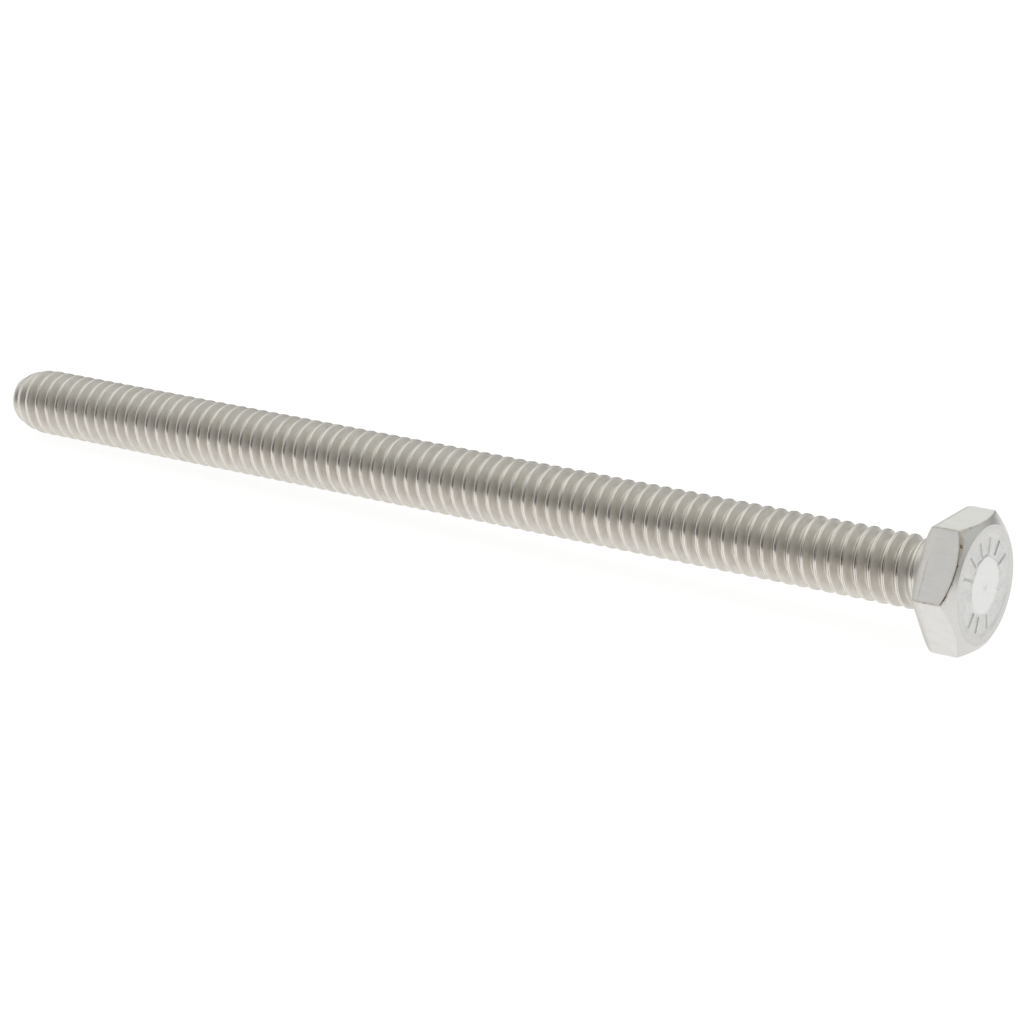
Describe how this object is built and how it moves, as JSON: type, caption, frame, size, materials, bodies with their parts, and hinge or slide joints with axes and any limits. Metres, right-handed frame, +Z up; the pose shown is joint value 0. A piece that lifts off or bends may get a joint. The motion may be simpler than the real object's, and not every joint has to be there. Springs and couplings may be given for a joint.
{
  "type": "hex cap screw",
  "caption": "Long hexagon-head cap screw threaded up to its neck, with a chamfered head and a rounded point, lying on a flat of its head.",
  "frame": {"origin": "centre of the bearing face under the head, on the screw's axis", "axes": "+X along the screw from its tip towards its head, +Z up, with the screw lying on one flat of its head and the last crests of its thread, so that its axis dips 1.35 degrees towards the tip"},
  "size_m": [0.1046, 0.0126, 0.0109],
  "materials": {
    "stainless_steel": "satin stainless steel, bright on the trimmed flats and greyer on the rolled thread"
  },
  "bodies": {
    "root": {"hex_cap_screw": "stainless_steel"}
  },
  "joints": []
}
